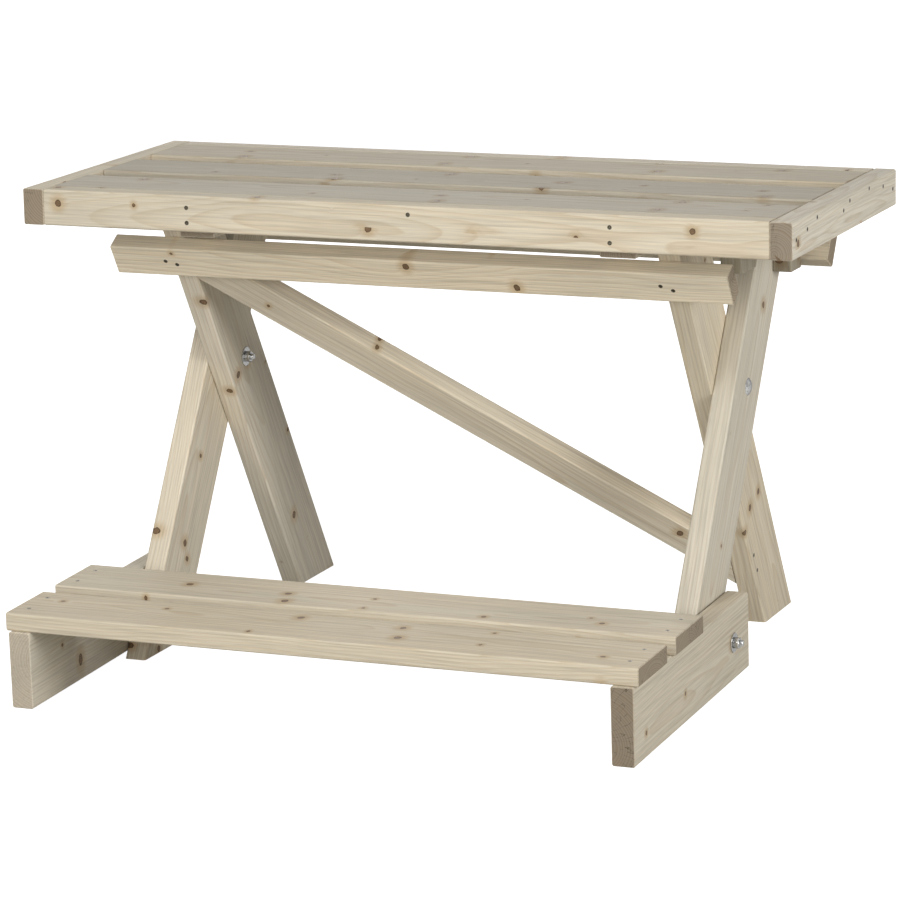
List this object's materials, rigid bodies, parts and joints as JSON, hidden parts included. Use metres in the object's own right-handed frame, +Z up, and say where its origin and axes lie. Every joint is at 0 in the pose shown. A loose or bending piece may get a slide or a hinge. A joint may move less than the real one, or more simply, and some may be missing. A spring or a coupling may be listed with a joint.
{
  "type": "potting bench",
  "caption": "Slatted wooden potting bench on crossed legs, with a diagonal brace and a low two-plank step hinged on bolts in front.",
  "frame": {"origin": "bottom centre of the bounding box, on the ground", "axes": "+X along the bench, +Y towards its back (away from the step), +Z up"},
  "size_m": [1.5, 1.1527, 0.88],
  "materials": {
    "pine": "planed, untreated softwood",
    "zinc_steel": "galvanised",
    "screw_steel": "zinc plated"
  },
  "bodies": {
    "bench": {"left_end_rail": "pine", "right_end_rail": "pine", "front_rail": "pine", "rear_rail": "pine", "front_plank": "pine", "middle_plank": "pine", "rear_plank": "pine", "left_batten": "pine", "right_batten": "pine", "left_inner_leg": "pine", "right_inner_leg": "pine", "left_outer_leg": "pine", "right_outer_leg": "pine", "front_bar": "pine", "rear_bar": "pine", "diagonal_brace": "pine", "left_wedge_block": "pine", "right_wedge_block": "pine", "left_outer_block": "pine", "right_outer_block": "pine", "crossing_bolts": "zinc_steel", "crossing_washers": "zinc_steel", "crossing_nuts": "zinc_steel", "pivot_bolts": "zinc_steel", "pivot_washers": "zinc_steel", "pivot_nuts": "zinc_steel", "rail_screws": "screw_steel", "end_screws": "screw_steel", "bar_screws": "screw_steel", "brace_screws": "screw_steel", "block_screws": "screw_steel"},
    "step": {"left_step_board": "pine", "right_step_board": "pine", "step_front_plank": "pine", "step_rear_plank": "pine", "step_screws": "screw_steel"}
  },
  "joints": [
    {"name": "step_fold", "type": "hinge", "parent": "bench", "child": "step", "pos_m": [0, -0.04276, 0.08444], "axis": [-1, 0, 0], "range_deg": [0, 65]}
  ]
}
